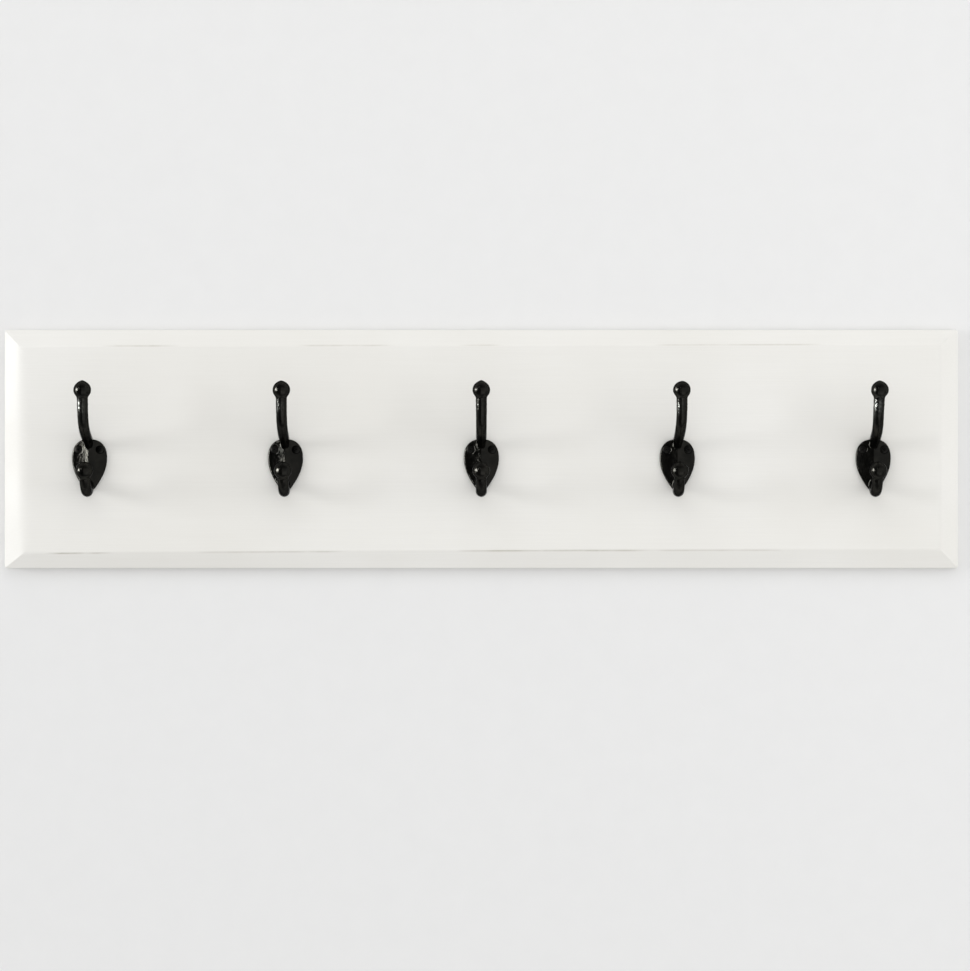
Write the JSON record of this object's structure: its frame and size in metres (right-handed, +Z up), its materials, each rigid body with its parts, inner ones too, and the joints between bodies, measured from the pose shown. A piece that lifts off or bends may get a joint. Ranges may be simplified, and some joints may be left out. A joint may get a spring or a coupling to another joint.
{
  "type": "wall hook rack",
  "caption": "Long rectangular wall board with bevelled edges, painted white, carrying a row of black cast-iron double hooks with ball ends for hats and coats.",
  "frame": {"origin": "centre of the board's back face, in the plane of the wall", "axes": "+X along the board to the right as seen from the room, +Y into the wall (the outward normal of the back face), +Z up; the hooks stand out along -Y"},
  "size_m": [0.8128, 0.076, 0.2032],
  "materials": {
    "board_paint": "wood under brushed off-white satin paint, rubbed thin in places along the bevel's inner edge",
    "hook_iron": "rough casting under semi-gloss black enamel",
    "hook_screw": "black oxide, satin",
    "hanger_steel": "bright zinc plate with rolled grain",
    "hanger_screw": "bright zinc plate"
  },
  "bodies": {
    "root": {"back_board": "board_paint", "hook_1": "hook_iron", "hook_1_screw_left": "hook_screw", "hook_1_screw_right": "hook_screw", "hook_2": "hook_iron", "hook_2_screw_left": "hook_screw", "hook_2_screw_right": "hook_screw", "hook_3": "hook_iron", "hook_3_screw_left": "hook_screw", "hook_3_screw_right": "hook_screw", "hook_4": "hook_iron", "hook_4_screw_left": "hook_screw", "hook_4_screw_right": "hook_screw", "hook_5": "hook_iron", "hook_5_screw_left": "hook_screw", "hook_5_screw_right": "hook_screw", "hanger_plate_left": "hanger_steel", "hanger_plate_left_screw_bottom": "hanger_screw", "hanger_plate_left_screw_top": "hanger_screw", "hanger_plate_right": "hanger_steel", "hanger_plate_right_screw_bottom": "hanger_screw", "hanger_plate_right_screw_top": "hanger_screw"}
  },
  "joints": []
}
